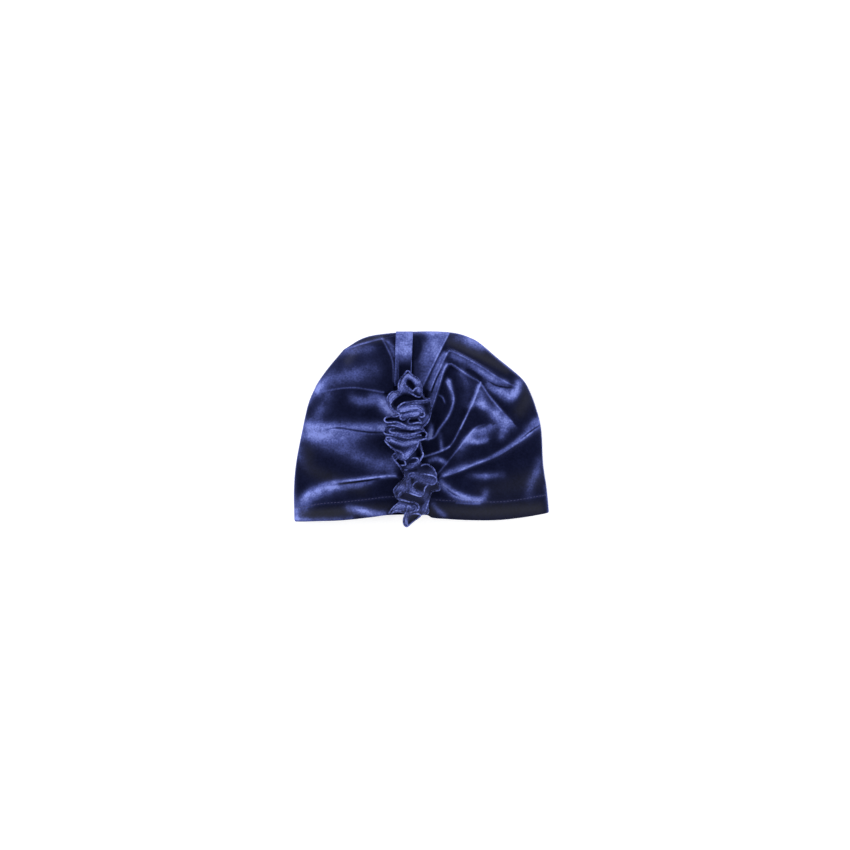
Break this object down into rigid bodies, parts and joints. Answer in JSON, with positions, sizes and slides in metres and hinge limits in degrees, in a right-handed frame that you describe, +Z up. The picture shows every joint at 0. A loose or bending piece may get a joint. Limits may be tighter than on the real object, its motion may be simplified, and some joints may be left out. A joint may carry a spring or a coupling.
{
  "type": "velvet turban cap with ruched front band",
  "caption": "Soft stretch-velvet turban cap lying flat, with a ruched doubled band down the centre front, pleats that fan out from it and a turned, topstitched hem.",
  "frame": {"origin": "under the middle of the cap, on the surface that it lies on", "axes": "+X to the viewer's right across the front of the cap, +Y from the hem to the crown, +Z up out of the front"},
  "size_m": [0.2545, 0.1944, 0.0493],
  "materials": {
    "velvet": "navy stretch velvet, dark facing the eye and bright at grazing angles",
    "lining": "matt navy jersey knit",
    "elastic": "ribbed navy woven elastic",
    "thread": "navy polyester sewing thread"
  },
  "bodies": {
    "root": {"left_front_panel": "velvet", "right_front_panel": "velvet", "back_panel": "velvet", "crown_strip": "velvet", "ruffle_band": "velvet", "front_lining": "lining", "back_lining": "lining", "centre_elastic": "elastic", "hem_elastic": "elastic", "left_hem_topstitch": "thread", "right_hem_topstitch": "thread", "back_hem_topstitch": "thread", "left_side_seam_thread": "thread", "right_side_seam_thread": "thread", "crown_seam_thread": "thread", "left_ruffle_seam_thread": "thread", "right_ruffle_seam_thread": "thread", "ruffle_top_tack": "thread", "ruffle_bottom_tack": "thread"}
  },
  "joints": []
}
